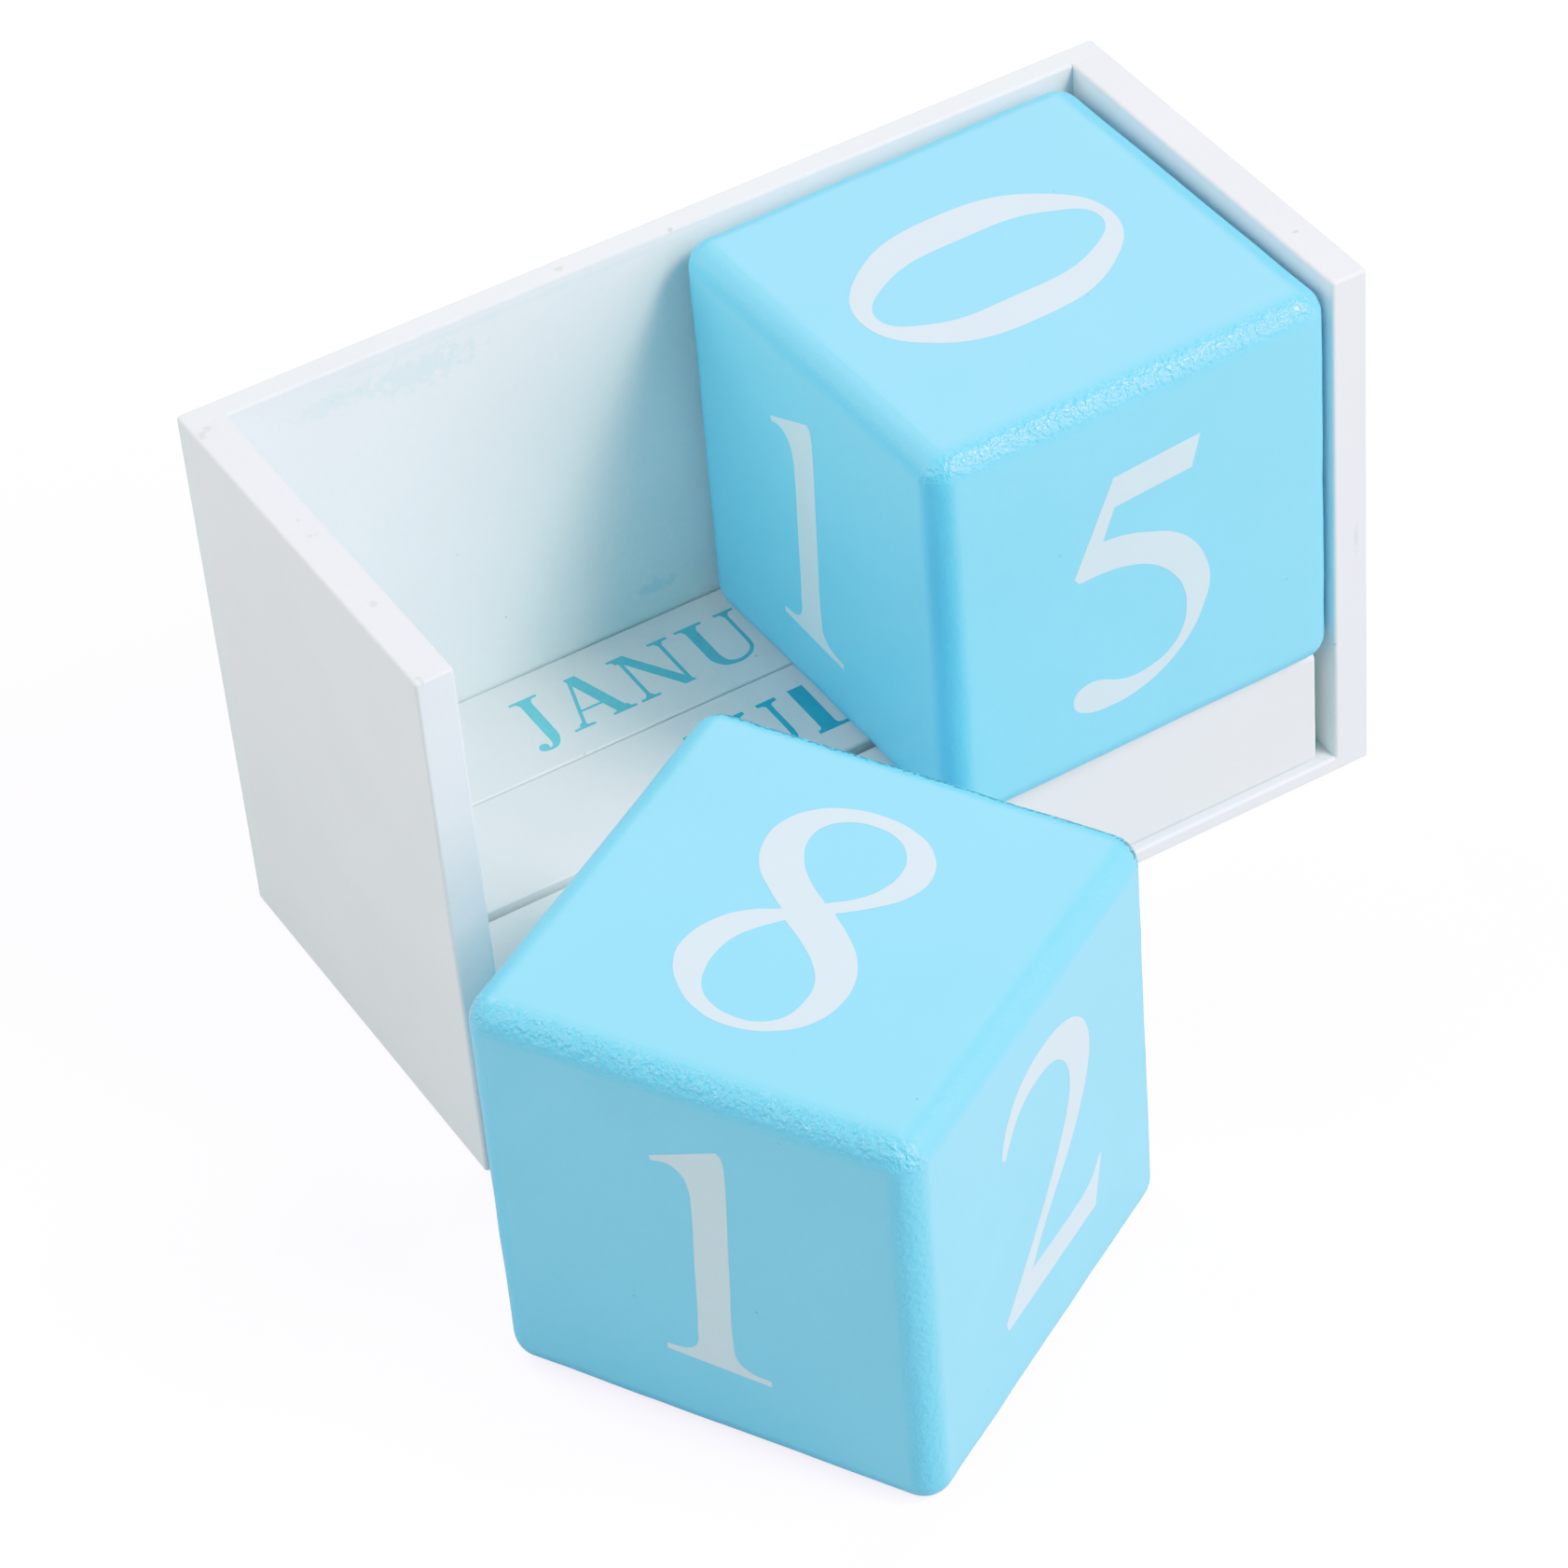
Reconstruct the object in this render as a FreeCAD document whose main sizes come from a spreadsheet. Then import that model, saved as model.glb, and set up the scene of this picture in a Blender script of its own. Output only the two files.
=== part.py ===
import FreeCAD, Part
import math
import os
import re
import Sketcher
from FreeCAD import Placement, Rotation, Vector

os.makedirs("parts", exist_ok=True)
doc = FreeCAD.newDocument("BlockCalendar")

# Driving dimensions, in millimetres and degrees: alias, value, what it is
drivingSizes = [
    ("cubeSide", 50.0, "date cube, across flats"),
    ("cubeEdge", 3.2, "date cube, rounding of every edge"),
    ("cubeRoom", 4.6, "spare width beside two cubes in the tray"),
    ("seatedBackGap", 0.3, "seated cube to the back panel"),
    ("seatedSideGap", 0.6, "seated cube to the right side"),
    ("seatedTurn", 0.9, "turn of the seated cube"),
    ("looseTurn", 30.1, "turn of the cube in front of the tray"),
    ("looseGap", 0.3, "cube in front of the tray to the tray's front"),
    ("looseLeft", 33.8, "cube in front of the tray, left of the middle"),
    ("barSide", 15.7, "month bar, across flats"),
    ("barEdge", 0.9, "front month bar, eased long edges"),
    ("barEndEdge", 0.5, "front month bar, eased ends"),
    ("barSharpEdge", 0.3, "rear and middle month bars, eased long edges"),
    ("barSharpEndEdge", 0.2, "rear and middle month bars, eased ends"),
    ("barRoom", 2.2, "spare depth beside three bars"),
    ("barEndRoom", 2.6, "spare width beyond a bar's ends"),
    ("barLeftGap", 0.6, "bars to the left side"),
    ("barBackGap", 0.2, "rear bar to the back panel"),
    ("rearSeam", 0.2, "rear bar to middle bar"),
    ("frontSeam", 0.95, "middle bar to front bar"),
    ("rimAboveCube", 0.3, "tray's rim above the seated cube"),
    ("sideThickness", 4.4, "left and right sides"),
    ("backThickness", 3.0, "back panel"),
    ("baseThickness", 2.0, "base panel"),
    ("panelEdge", 0.4, "eased outer edges of the panels"),
    ("bradLength", 10.0, "brad, head to tip"),
    ("bradWidth", 1.2, "brad shank, across the wall's length"),
    ("bradGauge", 1.0, "brad wire, across the wall's thickness"),
    ("bradHeadWidth", 2.0, "brad head, across the wall's length"),
    ("bradHeadHeight", 0.5, "brad head, height"),
    ("bradTip", 1.4, "brad's chisel point, length"),
    ("bradTipEdge", 0.24, "brad's chisel point, width of its edge"),
    ("bradInset", 12.0, "outer brads from the ends of a side"),
    ("bradFit", 0.05, "clearance round a brad"),
]

# Lengths that follow from the driving dimensions
derivedSizes = {
    "innerWidth": "2 * cubeSide + cubeRoom",
    "innerDepth": "3 * barSide + barRoom",
    "trayWidth": "innerWidth + 2 * sideThickness",
    "trayDepth": "innerDepth + backThickness",
    "trayHeight": "baseThickness + barSide + cubeSide + rimAboveCube",
    "wallHeight": "trayHeight - baseThickness",
    "backFace": "trayDepth / 2 - backThickness",
    "sideMiddle": "(innerWidth + sideThickness) / 2",
    "sideMiddleY": "-backThickness / 2",
    "wallMiddleZ": "baseThickness + wallHeight / 2",
    "barLength": "innerWidth - barEndRoom",
    "cubeFlat": "cubeSide / 2 - cubeEdge",
    "seatedReach": "cubeEdge + cubeFlat * (cos(seatedTurn * 1 deg) + sin(seatedTurn * 1 deg))",
    "looseReach": "cubeEdge + cubeFlat * (cos(looseTurn * 1 deg) + sin(looseTurn * 1 deg))",
    "baseBradSpread": "innerDepth / 2 - bradInset",
    "backBradSpread": "wallHeight / 2 - bradInset",
}

sheet = doc.addObject("Spreadsheet::Sheet", "Sizes")
for row, (alias, value, meaning) in enumerate(drivingSizes, start=1):
    sheet.set(f"A{row}", meaning)
    sheet.set(f"B{row}", str(value))
    sheet.setAlias(f"B{row}", alias)
doc.recompute()


def formula(text):
    """Expression text with every derived size written out and every alias pointed at the sheet."""
    aliases = {alias for alias, value, meaning in drivingSizes}

    def replaceWord(match):
        word = match.group(0)
        if word in derivedSizes:
            return "(" + formula(derivedSizes[word]) + ")"
        return "Sizes." + word if word in aliases else word

    return re.sub(r"[A-Za-z][A-Za-z0-9]*", replaceWord, text)


def bind(target, path, text):
    target.setExpression(path, formula(text))


def moveTo(piece, x="0", y="0", z="0"):
    """Ties a piece's place to the sheet."""
    bind(piece, "Placement.Base.x", x)
    bind(piece, "Placement.Base.y", y)
    bind(piece, "Placement.Base.z", z)


def originPlane(body, role):
    return next(feature for feature in body.Origin.OriginFeatures if feature.Role == role)


def newBody(label):
    body = doc.addObject("PartDesign::Body", label)
    body.Label = label
    return body


def newSketch(body, name, role, offset=None):
    """Sketch on one of the body's own origin planes, moved along the plane's normal by a formula."""
    sketch = body.newObject("Sketcher::SketchObject", name)
    sketch.AttachmentSupport = [(originPlane(body, role), "")]
    sketch.MapMode = "FlatFace"
    if offset is not None:
        bind(sketch, "AttachmentOffset.Base.z", offset)
    return sketch


def constrain(sketch, text, *definition):
    """Adds a dimension and ties it to the sheet."""
    index = sketch.addConstraint(Sketcher.Constraint(*definition, 1.0))
    bind(sketch, f"Constraints[{index}]", text)


def placePoint(sketch, geometry, vertex, across, up):
    """Ties a point to (sign, formula) across and up from the sketch's origin."""
    for axis, kind, (sign, distance) in ((-2, "DistanceX", across), (-1, "DistanceY", up)):
        if sign == 0:
            sketch.addConstraint(Sketcher.Constraint("PointOnObject", geometry, vertex, axis))
        elif sign > 0:
            constrain(sketch, distance, kind, -1, 1, geometry, vertex)
        else:
            constrain(sketch, distance, kind, geometry, vertex, -1, 1)


def rectangle(sketch, width, height, across=(0, "0"), up=(0, "0")):
    """Rectangle with its two sides and its middle given by formulas."""
    middle = Vector(across[0] * 30, up[0] * 20, 0)
    corners = [middle + Vector(x, y, 0) for x, y in ((-1, -1), (1, -1), (1, 1), (-1, 1))]
    first = sketch.GeometryCount
    for start, end in zip(corners, corners[1:] + corners[:1]):
        sketch.addGeometry(Part.LineSegment(start, end), False)
    for side, direction in enumerate(("Horizontal", "Vertical", "Horizontal", "Vertical")):
        following = first + (side + 1) % 4
        sketch.addConstraint(Sketcher.Constraint("Coincident", first + side, 2, following, 1))
        sketch.addConstraint(Sketcher.Constraint(direction, first + side))
    centre = sketch.addGeometry(Part.Point(middle), True)
    sketch.addConstraint(Sketcher.Constraint("Symmetric", first, 1, first + 1, 2, centre, 1))
    placePoint(sketch, centre, 1, across, up)
    constrain(sketch, width, "DistanceX", first, 1, first, 2)
    constrain(sketch, height, "DistanceY", first + 1, 1, first + 1, 2)


def pad(body, sketch, length, name):
    """Pad to both sides of the sketch's plane."""
    feature = body.newObject("PartDesign::Pad", name)
    feature.Profile = sketch
    feature.Midplane = True
    bind(feature, "Length", length)
    doc.recompute()
    return feature


def pocket(body, sketch, depth, name, reverse=False, both=False):
    """Pocket against the sketch's normal, or along it when reversed. It has to take something away."""
    before = body.Shape.Volume
    feature = body.newObject("PartDesign::Pocket", name)
    feature.Profile = sketch
    feature.Reversed = reverse
    feature.Midplane = both
    bind(feature, "Length", depth)
    doc.recompute()
    if not body.Shape.Volume < before:
        raise RuntimeError(f"{name} cuts nothing")
    return feature


def edgesOn(shape, *sides):
    """Names of the straight edges that lie on every named side of a box, such as x+ and z-."""
    box = shape.BoundBox
    limits = {"x-": box.XMin, "x+": box.XMax, "y-": box.YMin,
              "y+": box.YMax, "z-": box.ZMin, "z+": box.ZMax}
    names = []
    for number, edge in enumerate(shape.Edges, start=1):
        ends = [vertex.Point for vertex in edge.Vertexes]
        if all(abs(getattr(end, side[0]) - limits[side]) < 1e-6 for side in sides for end in ends):
            names.append(f"Edge{number}")
    return names


def fillet(body, base, edges, radius, name):
    feature = body.newObject("PartDesign::Fillet", name)
    feature.Base = (base, edges)
    bind(feature, "Radius", radius)
    doc.recompute()
    return feature


def upperFrontRound(body, name, forward, up, length):
    """Rounds a panel's upper front edge over a limited length along X. The edge lies forward of the
    body's origin and up from it by the two formulas."""
    sketch = newSketch(body, name + "Sketch", "YZ_Plane")
    edge = Vector(-10, 10, 0)
    centre = edge + Vector(1, -1, 0)
    quarter = Part.ArcOfCircle(Part.Circle(centre, Vector(0, 0, 1), 1.0), math.pi / 2, math.pi)
    arc = sketch.addGeometry(quarter, False)
    top = sketch.addGeometry(Part.LineSegment(edge, quarter.StartPoint), False)
    front = sketch.addGeometry(Part.LineSegment(edge, quarter.EndPoint), False)
    sketch.addConstraint(Sketcher.Constraint("Coincident", top, 1, front, 1))
    sketch.addConstraint(Sketcher.Constraint("Tangent", top, 2, arc, 1))
    sketch.addConstraint(Sketcher.Constraint("Coincident", front, 2, arc, 2))
    sketch.addConstraint(Sketcher.Constraint("Horizontal", top))
    sketch.addConstraint(Sketcher.Constraint("Vertical", front))
    # both lengths are signed, so the round always lies inside the panel
    constrain(sketch, "panelEdge", "DistanceX", top, 1, top, 2)
    constrain(sketch, "panelEdge", "DistanceY", front, 2, front, 1)
    placePoint(sketch, top, 1, (-1, forward), (1, up))
    return pocket(body, sketch, length, name, both=True)


def makeBasePanel():
    """Thin floor under the sides and the back, with slots from below for the brads and their heads."""
    body = newBody("base_panel")
    outline = newSketch(body, "baseOutline", "XY_Plane")
    rectangle(outline, "trayWidth", "trayDepth")
    slab = pad(body, outline, "baseThickness", "baseSlab")
    rim = [name for side in ("x-", "x+", "y-", "y+") for name in edgesOn(slab.Shape, side, "z-")]
    corners = [name for x in ("x-", "x+") for y in ("y-", "y+") for name in edgesOn(slab.Shape, x, y)]
    fillet(body, slab, rim + corners, "panelEdge", "baseEasedEdges")
    upperFrontRound(body, "baseFrontEdge", "trayDepth / 2", "baseThickness / 2", "innerWidth")
    for name, length, depth in (("baseShankSlots", "bradWidth", "baseThickness"),
                                ("baseHeadSlots", "bradHeadWidth", "bradHeadHeight")):
        slots = newSketch(body, name + "Sketch", "XY_Plane", "-baseThickness / 2")
        for across in (-1, 1):
            for along in (-1, 0, 1):
                # the sides stop short of the tray's rear by the back panel, so their middle is forward
                distance = f"{along} * baseBradSpread + sideMiddleY"
                up = (1, distance) if along > 0 else (-1, f"-({distance})")
                rectangle(slots, "bradGauge + 2 * bradFit", f"{length} + 2 * bradFit",
                          (across, "sideMiddle"), up)
        pocket(body, slots, depth, name, reverse=True)
    moveTo(body, z="baseThickness / 2")
    return body


def makeBackPanel():
    """Thin back across the full width, behind the two sides, with slots from the rear for the brads."""
    body = newBody("back_panel")
    outline = newSketch(body, "backOutline", "XZ_Plane")
    rectangle(outline, "trayWidth", "wallHeight")
    slab = pad(body, outline, "backThickness", "backSlab")
    outer = edgesOn(slab.Shape, "y+", "z+")
    for side in ("x-", "x+"):
        outer += edgesOn(slab.Shape, side, "z+") + edgesOn(slab.Shape, side, "y+")
    fillet(body, slab, outer, "panelEdge", "backEasedEdges")
    upperFrontRound(body, "backInnerEdge", "backThickness / 2", "wallHeight / 2", "innerWidth")
    for name, length, depth in (("backShankSlots", "bradWidth", "backThickness"),
                                ("backHeadSlots", "bradHeadWidth", "bradHeadHeight")):
        # an XZ sketch faces -Y, so its rear side is reached by a negative offset
        slots = newSketch(body, name + "Sketch", "XZ_Plane", "-backThickness / 2")
        for across in (-1, 1):
            for level in (-1, 0, 1):
                rectangle(slots, "bradGauge + 2 * bradFit", f"{length} + 2 * bradFit",
                          (across, "sideMiddle"), (level, "backBradSpread"))
        pocket(body, slots, depth, name, reverse=True)
    moveTo(body, y="trayDepth / 2 - backThickness / 2", z="wallMiddleZ")
    return body


def makeSide(label, outward):
    """Side wall between the base and the rim, with blind slots for the brads in its foot and rear end."""
    body = newBody(label)
    outline = newSketch(body, label + "Outline", "YZ_Plane")
    rectangle(outline, "innerDepth", "wallHeight")
    slab = pad(body, outline, "sideThickness", label + "Slab")
    eased = edgesOn(slab.Shape, "y-", "z+")
    for face in ("x-", "x+"):
        eased += edgesOn(slab.Shape, face, "y-") + edgesOn(slab.Shape, face, "z+")
    fillet(body, slab, eased, "panelEdge", label + "EasedEdges")
    for end, plane, offset, spread, panel in (
            ("Foot", "XY_Plane", "-wallHeight / 2", "baseBradSpread", "baseThickness"),
            ("Rear", "XZ_Plane", "-innerDepth / 2", "backBradSpread", "backThickness")):
        slots = newSketch(body, f"{label}{end}SlotsSketch", plane, offset)
        for step in (-1, 0, 1):
            rectangle(slots, "bradGauge + 2 * bradFit", "bradWidth + 2 * bradFit", up=(step, spread))
        pocket(body, slots, f"bradLength - {panel} + bradFit", f"{label}{end}Slots", reverse=True)
    moveTo(body, x=f"{outward} * sideMiddle", y="sideMiddleY", z="wallMiddleZ")
    return body


def makeBrad(name):
    """One brad of flat wire, its head's face at the origin, its point along +Z and its width along Y."""
    blocks = []
    for part, width, height in (("Head", "bradHeadWidth", "bradHeadHeight"),
                                ("Shank", "bradWidth", "bradLength - bradTip")):
        block = doc.addObject("Part::Box", name + part)
        bind(block, "Length", "bradGauge")
        bind(block, "Width", width)
        bind(block, "Height", height)
        moveTo(block, "-bradGauge / 2", f"-{width} / 2")
        blocks.append(block)
    # the point narrows along Z from the full wire to a chisel edge
    point = doc.addObject("Part::Wedge", name + "Point")
    point.Placement = Placement(Vector(0, 0, 0), Rotation(Vector(1, 0, 0), 90))
    for corner, text in (("Xmin", "-bradGauge / 2"), ("Xmax", "bradGauge / 2"),
                         ("X2min", "-bradGauge / 2"), ("X2max", "bradGauge / 2"),
                         ("Zmin", "-bradWidth / 2"), ("Zmax", "bradWidth / 2"),
                         ("Z2min", "-bradTipEdge / 2"), ("Z2max", "bradTipEdge / 2"),
                         ("Ymin", "0"), ("Ymax", "bradTip")):
        bind(point, corner, text)
    bind(point, "Placement.Base.z", "bradLength - bradTip")
    brad = doc.addObject("Part::MultiFuse", name)
    brad.Shapes = blocks + [point]
    return brad


def makeBrads(label, turn, places):
    """Row of identical brads in one node, each turned the same way and tied to its place."""
    brads = []
    for number, (x, y, z) in enumerate(places, start=1):
        brad = makeBrad(f"{label}{number}_")
        brad.Placement = Placement(Vector(0, 0, 0), turn)
        moveTo(brad, x, y, z)
        brads.append(brad)
    group = doc.addObject("Part::Compound", label)
    group.Label = label
    group.Links = brads
    return group


def makeCube(label, turn, x, y, z):
    """Date cube with every edge and corner rounded, standing on its lower face."""
    body = newBody(label)
    outline = newSketch(body, label + "Outline", "XY_Plane")
    rectangle(outline, "cubeSide", "cubeSide")
    block = pad(body, outline, "cubeSide", label + "Block")
    edges = [f"Edge{number}" for number in range(1, len(block.Shape.Edges) + 1)]
    fillet(body, block, edges, "cubeEdge", label + "RoundedEdges")
    body.Placement = Placement(Vector(0, 0, 0), Rotation(Vector(0, 0, 1), 1))
    bind(body, "Placement.Rotation.Angle", f"{turn} * 1 deg")
    moveTo(body, x, y, f"{z} + cubeSide / 2")
    return body


def makeBar(label, rearFace, longEdge, endEdge):
    """Square month bar along X, its rear face at the given formula."""
    body = newBody(label)
    outline = newSketch(body, label + "Outline", "YZ_Plane")
    rectangle(outline, "barSide", "barSide")
    stick = pad(body, outline, "barLength", label + "Stick")
    longEdges = [name for y in ("y-", "y+") for z in ("z-", "z+") for name in edgesOn(stick.Shape, y, z)]
    eased = fillet(body, stick, longEdges, longEdge, label + "LongEdges")
    ends = [f"Edge{number}" for number, edge in enumerate(eased.Shape.Edges, start=1)
            if edge.BoundBox.XLength < 1e-6]
    fillet(body, eased, ends, endEdge, label + "EndEdges")
    moveTo(body, "-innerWidth / 2 + barLeftGap + barLength / 2", f"{rearFace} - barSide / 2",
           "baseThickness + barSide / 2")
    return body


baseBradPlaces = [(f"{side} * sideMiddle", f"sideMiddleY + {along} * baseBradSpread", "0")
                  for side in (-1, 1) for along in (-1, 0, 1)]
backBradPlaces = [(f"{side} * sideMiddle", "trayDepth / 2", f"wallMiddleZ + {level} * backBradSpread")
                  for side in (-1, 1) for level in (-1, 0, 1)]
rearBarFace = "backFace - barBackGap"
middleBarFace = f"{rearBarFace} - barSide - rearSeam"
frontBarFace = f"{middleBarFace} - barSide - frontSeam"

subParts = [
    makeBasePanel(),
    makeBackPanel(),
    makeSide("left_side", -1),
    makeSide("right_side", 1),
    makeBrads("base_brads", Rotation(), baseBradPlaces),
    makeBrads("back_brads", Rotation(Vector(1, 0, 0), 90), backBradPlaces),
    makeCube("date_cube_tray", "seatedTurn", "innerWidth / 2 - seatedSideGap - seatedReach",
             "backFace - seatedBackGap - seatedReach", "baseThickness + barSide"),
    makeCube("date_cube_table", "looseTurn", "-looseLeft", "-trayDepth / 2 - looseGap - looseReach", "0"),
    makeBar("month_bar_rear", rearBarFace, "barSharpEdge", "barSharpEndEdge"),
    makeBar("month_bar_middle", middleBarFace, "barSharpEdge", "barSharpEndEdge"),
    makeBar("month_bar_front", frontBarFace, "barEdge", "barEndEdge"),
]
doc.recompute()

for item in doc.Objects:
    if "Invalid" in item.State or "Error" in item.State:
        raise RuntimeError(f"{item.Label} did not rebuild: {item.State}")
for subPart in subParts:
    if subPart.Shape.isNull() or not subPart.Shape.isValid():
        raise RuntimeError(f"{subPart.Label} has no valid shape")
for subPart in subParts:
    subPart.Shape.exportStep(f"parts/{subPart.Label}.step")
    box = subPart.Shape.BoundBox
    print(f"{subPart.Label}: {len(subPart.Shape.Solids)} solid(s), {subPart.Shape.Volume:.1f} mm3, "
          f"x {box.XMin:.2f} to {box.XMax:.2f}, y {box.YMin:.2f} to {box.YMax:.2f}, "
          f"z {box.ZMin:.2f} to {box.ZMax:.2f}")
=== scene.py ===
import math

import bmesh
import bpy
from mathutils import Matrix, Vector, noise
from mathutils.geometry import delaunay_2d_cdt


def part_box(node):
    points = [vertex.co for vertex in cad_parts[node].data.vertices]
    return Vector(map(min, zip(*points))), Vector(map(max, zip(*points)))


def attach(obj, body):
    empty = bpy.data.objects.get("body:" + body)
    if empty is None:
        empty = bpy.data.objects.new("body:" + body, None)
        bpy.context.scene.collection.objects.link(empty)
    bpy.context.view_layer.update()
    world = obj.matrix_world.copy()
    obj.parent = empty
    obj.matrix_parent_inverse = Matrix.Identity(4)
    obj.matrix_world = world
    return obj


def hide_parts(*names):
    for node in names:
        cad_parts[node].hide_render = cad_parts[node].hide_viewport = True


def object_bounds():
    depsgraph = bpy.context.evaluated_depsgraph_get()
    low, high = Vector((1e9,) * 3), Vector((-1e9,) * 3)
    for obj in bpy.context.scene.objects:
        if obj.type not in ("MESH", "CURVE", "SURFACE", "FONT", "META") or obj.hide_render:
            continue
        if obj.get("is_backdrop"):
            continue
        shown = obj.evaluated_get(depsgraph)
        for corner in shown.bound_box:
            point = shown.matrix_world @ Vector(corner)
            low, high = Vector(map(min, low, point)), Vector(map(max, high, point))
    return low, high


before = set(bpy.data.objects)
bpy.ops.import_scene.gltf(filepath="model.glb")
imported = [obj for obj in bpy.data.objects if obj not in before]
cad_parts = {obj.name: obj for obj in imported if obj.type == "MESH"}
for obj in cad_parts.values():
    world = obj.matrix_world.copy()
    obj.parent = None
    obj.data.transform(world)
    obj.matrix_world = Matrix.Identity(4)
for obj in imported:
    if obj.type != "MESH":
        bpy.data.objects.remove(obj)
cadLow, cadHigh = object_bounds()
print("frame: " + ", ".join(sorted(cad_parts)))

mm = 0.001
scene = bpy.context.scene
# exposure curve with a soft shoulder, so that white paint keeps its shading
exposure = {
    "reach": 4.0,                # brightest scene light that the curve covers
    "ceiling": 1.27,             # display value that the shoulder nears
    "softness": 1.4,
    "stops": (0.05, 0.12, 0.25, 0.45, 0.7, 1.0, 1.5, 2.2, 3.0, 4.0),
    # small corrections of the red, green and blue before that curve, as shares of the reach
    "tints": (((0.03, 0.027), (0.055, 0.0505), (0.085, 0.0862), (0.12, 0.12), (0.4, 0.4)),
              ((0.25, 0.25), (0.29, 0.289), (0.346, 0.336), (0.393, 0.374), (0.453, 0.428), (0.7, 0.67)),
              ((0.2, 0.194), (0.27, 0.263), (0.39, 0.386), (0.477, 0.484), (0.536, 0.595), (0.75, 0.8))),
}


def setExposure(look):
    view = scene.view_settings
    view.view_transform = "Standard"
    view.use_curve_mapping = True
    mapping = view.curve_mapping
    mapping.white_level = (look["reach"],) * 3
    points = mapping.curves[3].points
    for light in look["stops"]:
        share = 1 + (light / look["ceiling"]) ** look["softness"]
        place = (light / look["reach"], light / share ** (1 / look["softness"]))
        if light < look["reach"]:
            points.new(*place)
        else:
            points[len(points) - 1].location = place
    for curve, places in zip(mapping.curves, look["tints"]):
        for place in places:
            curve.points.new(*place)
    mapping.update()


setExposure(exposure)

# camera: from the front left, looking down into the open tray
cameraView = {
    "azimuth": -27.692,          # degrees, 0 looks along +Y
    "elevation": 41.711,
    "roll": -5.234,
    "distance": 633.05 * mm,
    "aim": (0.0, 0.0, 30 * mm),
    "aimPixel": (855.87, 665.99),
    "framePixels": 1682,
    "focalPixels": 6279.4,
    "sensor": 36.0,
    "clip": (0.01, 50),
}


def placeCamera(view):
    azimuth, elevation, roll = (math.radians(view[key]) for key in ("azimuth", "elevation", "roll"))
    back = Vector((math.sin(azimuth) * math.cos(elevation),
                   -math.cos(azimuth) * math.cos(elevation), math.sin(elevation)))
    level = Vector((0, 0, 1)).cross(back).normalized()
    upright = back.cross(level)
    right = level * math.cos(roll) + upright * math.sin(roll)
    up = upright * math.cos(roll) - level * math.sin(roll)
    middle = view["framePixels"] / 2
    across = (view["aimPixel"][0] - middle) / view["focalPixels"]
    down = (view["aimPixel"][1] - middle) / view["focalPixels"]
    place = Vector(view["aim"]) + view["distance"] * (back - right * across + up * down)
    data = bpy.data.cameras.new("camera")
    data.sensor_width = view["sensor"]
    data.lens = view["focalPixels"] / view["framePixels"] * view["sensor"]
    data.clip_start, data.clip_end = view["clip"]
    camera = bpy.data.objects.new("camera", data)
    camera.matrix_world = Matrix.Translation(place) @ Matrix((right, up, back)).transposed().to_4x4()
    scene.collection.objects.link(camera)
    scene.camera = camera


placeCamera(cameraView)
print("camera placed")


# node helpers
def addNode(tree, kind, inputs=None, **settings):
    made = tree.nodes.new(kind)
    for name, value in settings.items():
        setattr(made, name, value)
    for name, value in (inputs or {}).items():
        if isinstance(value, bpy.types.NodeSocket):
            tree.links.new(value, made.inputs[name])
        else:
            made.inputs[name].default_value = value
    return made


def addMath(tree, operation, first, second=0.0, third=0.0):
    # MULTIPLY_ADD gives first * second + third
    return addNode(tree, "ShaderNodeMath", {0: first, 1: second, 2: third}, operation=operation).outputs[0]


def addBlend(tree, amount, first, second):
    # the node's sockets for numbers and colours share their names, so they are picked by type
    inputs = {"Factor": amount, "A": first, "B": second}
    made = addNode(tree, "ShaderNodeMix", data_type="RGBA")
    for name, value in inputs.items():
        sockets = [socket for socket in made.inputs
                   if socket.name == name and socket.type == ("VALUE" if name == "Factor" else "RGBA")]
        if isinstance(value, bpy.types.NodeSocket):
            tree.links.new(value, sockets[0])
        else:
            sockets[0].default_value = value
    return next(socket for socket in made.outputs if socket.type == "RGBA")


def addNoise(tree, vector, scale, detail=2.0, roughness=0.5):
    made = addNode(tree, "ShaderNodeTexNoise",
                   {"Vector": vector, "Scale": scale, "Detail": detail, "Roughness": roughness})
    return made.outputs["Fac"]


def addRange(tree, value, low, high, toLow=0.0, toHigh=1.0):
    # smooth step from low to high
    inputs = {"Value": value, "From Min": low, "From Max": high, "To Min": toLow, "To Max": toHigh}
    return addNode(tree, "ShaderNodeMapRange", inputs, interpolation_type="SMOOTHSTEP").outputs["Result"]


def newGroup(name, inputs, outputs):
    # inputs are name: (kind, value) and outputs name: kind
    group = bpy.data.node_groups.new(name, "ShaderNodeTree")
    for socketName, (kind, value) in inputs.items():
        socket = group.interface.new_socket(socketName, in_out="INPUT", socket_type="NodeSocket" + kind)
        socket.default_value = value
    for socketName, kind in outputs.items():
        group.interface.new_socket(socketName, in_out="OUTPUT", socket_type="NodeSocket" + kind)
    return group, group.nodes.new("NodeGroupInput").outputs, group.nodes.new("NodeGroupOutput")


# shared paint effects; scales are repeats per metre
filmLook = {
    "mottleScale": 70,
    "grainScale": 1500,
    "grainShare": 0.6,           # fine grain's strength beside the slow mottle's
    "dustScale": 420,
    "dustCore": 0.055,           # radii of a speck, in cells
    "dustRim": 0.10,
    "dustStrength": 0.45,
    "patchScale": 160,
    "patchiness": 0.02,          # roughness to either side
}
edgeLook = {
    "nickLimit": 0.86,           # grain that a nick needs at an unworn edge
    "nickDrop": 0.43,            # less that it needs at a fully worn one
    "nickBlur": 0.05,
}
markCore = 0.45                  # share of a mark's reach that is fully covered


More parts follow.
